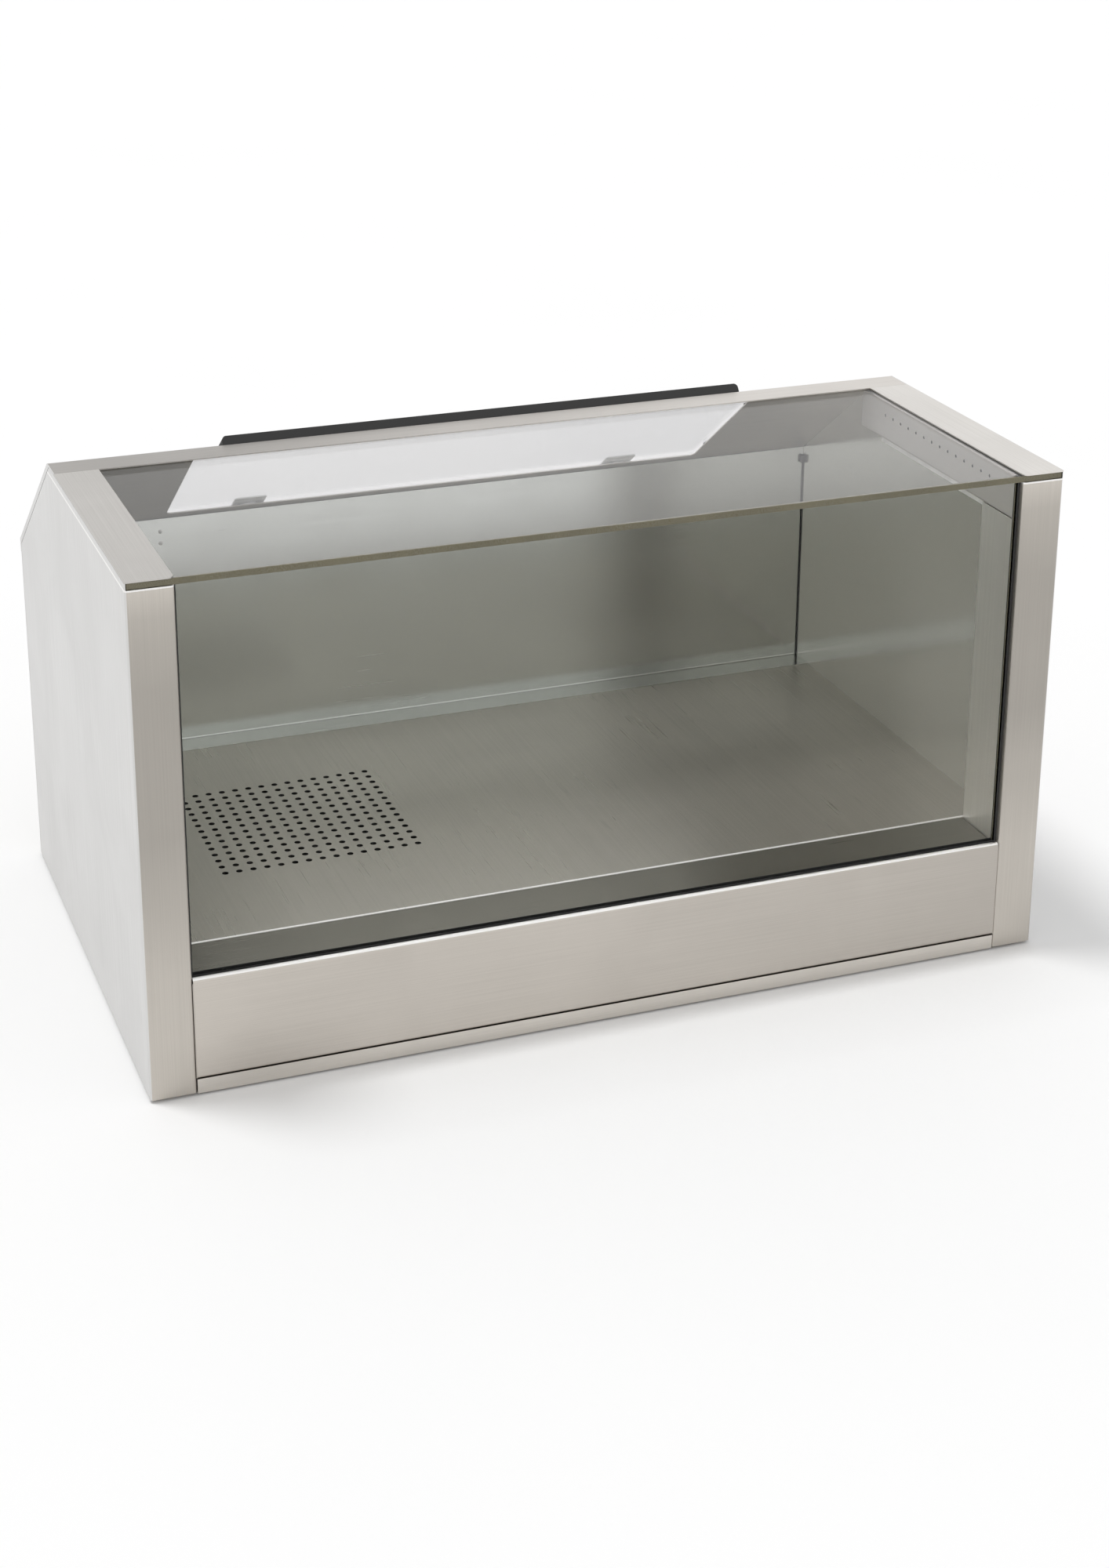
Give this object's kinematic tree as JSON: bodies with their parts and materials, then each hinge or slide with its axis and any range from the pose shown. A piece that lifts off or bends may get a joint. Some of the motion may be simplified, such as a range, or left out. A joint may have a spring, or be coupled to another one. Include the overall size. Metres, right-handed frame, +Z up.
{
  "type": "popcorn warmer display cabinet",
  "caption": "Countertop popcorn warmer cabinet: stainless sheet body, upright glass front, flat glass top, sloped rear serving hatch, punched warm deck and a kernel tray below.",
  "frame": {"origin": "on the standing surface, under the middle of the cabinet's bounding box", "axes": "+X to the customer's right along the width, +Y from the glass front to the operator's side, +Z up"},
  "size_m": [0.9, 0.54, 0.503],
  "materials": {
    "steel_skin": "satin brushed stainless",
    "polished_liner": "polished stainless",
    "deck_steel": "scratched brushed stainless",
    "inner_steel": "plain mill finish",
    "duct_metal": "aluminised sheet",
    "blower_metal": "pressed sheet",
    "motor_metal": "baked black enamel",
    "shaft_steel": "ground",
    "heater_metal": "heat-tinted",
    "control_metal": "plain",
    "hinge_steel": "satin",
    "pane_glass": "clear float glass",
    "door_clear": "clear sheet",
    "gasket_rubber": "matt",
    "black_plastic": "fine texture",
    "rocker_red": "gloss",
    "rocker_black": "gloss",
    "lamp_amber": "translucent",
    "light_metal": "satin anodised",
    "light_cover": "milky"
  },
  "bodies": {
    "cabinet": {"back_liner": "polished_liner", "back_panel": "steel_skin", "base_crossbars": "inner_steel", "base_pan": "inner_steel", "base_side_strip": "inner_steel", "blower_housing": "duct_metal", "blower_motor": "motor_metal", "control_bay": "inner_steel", "deck": "deck_steel", "door_bumpers": "gasket_rubber", "front_fascia": "steel_skin", "front_glass": "pane_glass", "front_ledge": "deck_steel", "front_plenum": "duct_metal", "glass_channel": "inner_steel", "glass_gasket": "gasket_rubber", "glass_rest": "inner_steel", "heater_box": "duct_metal", "heater_element": "heater_metal", "hinge_frame_leaves": "hinge_steel", "hinge_pins": "shaft_steel", "kernel_chute": "inner_steel", "left_deck_rail": "inner_steel", "left_duct_valance": "polished_liner", "left_light_bar": "light_metal", "left_light_lens": "light_cover", "left_side_liner": "polished_liner", "left_side_panel": "steel_skin", "left_top_band": "steel_skin", "left_tray_runner": "inner_steel", "light_switch_body": "black_plastic", "overheat_cutout": "control_metal", "pilot_lamp": "lamp_amber", "power_inlet": "black_plastic", "power_switch_body": "black_plastic", "rear_hood": "steel_skin", "right_deck_rail": "inner_steel", "right_duct_valance": "polished_liner", "right_light_bar": "light_metal", "right_light_lens": "light_cover", "right_side_liner": "polished_liner", "right_side_panel": "steel_skin", "right_top_band": "steel_skin", "right_tray_runner": "inner_steel", "rubber_feet": "gasket_rubber", "temperature_probe": "black_plastic", "terminal_block": "black_plastic", "thermostat_body": "control_metal", "top_glass": "pane_glass"},
    "rear_door": {"rear_door": "door_clear", "door_grip": "black_plastic", "hinge_door_leaves": "hinge_steel"},
    "kernel_tray": {"kernel_tray": "steel_skin"},
    "blower_wheel": {"blower_wheel": "blower_metal", "motor_shaft": "shaft_steel"},
    "power_rocker": {"power_rocker": "rocker_red"},
    "light_rocker": {"light_rocker": "rocker_black"},
    "thermostat_knob": {"thermostat_knob": "black_plastic", "thermostat_spindle": "shaft_steel"}
  },
  "joints": [
    {"name": "door_hinge", "type": "hinge", "parent": "cabinet", "child": "rear_door", "pos_m": [0, 0.26645, 0.36974], "axis": [-1, 0, 0], "range_deg": [0, 175]},
    {"name": "tray_slide", "type": "slide", "parent": "cabinet", "child": "kernel_tray", "axis": [0, -1, 0], "range_m": [0, 0.36]},
    {"name": "blower_spin", "type": "hinge", "parent": "cabinet", "child": "blower_wheel", "pos_m": [0.15, 0.06, 0.05], "axis": [0, 0, 1], "continuous": true},
    {"name": "power_press", "type": "hinge", "parent": "cabinet", "child": "power_rocker", "pos_m": [0.338, 0.2437, 0.065], "axis": [-1, 0, 0], "range_deg": [0, 16]},
    {"name": "light_press", "type": "hinge", "parent": "cabinet", "child": "light_rocker", "pos_m": [0.298, 0.2437, 0.065], "axis": [-1, 0, 0], "range_deg": [0, 16]},
    {"name": "thermostat_turn", "type": "hinge", "parent": "cabinet", "child": "thermostat_knob", "pos_m": [0.393, 0.2432, 0.065], "axis": [0, -1, 0], "range_deg": [0, 270]}
  ]
}
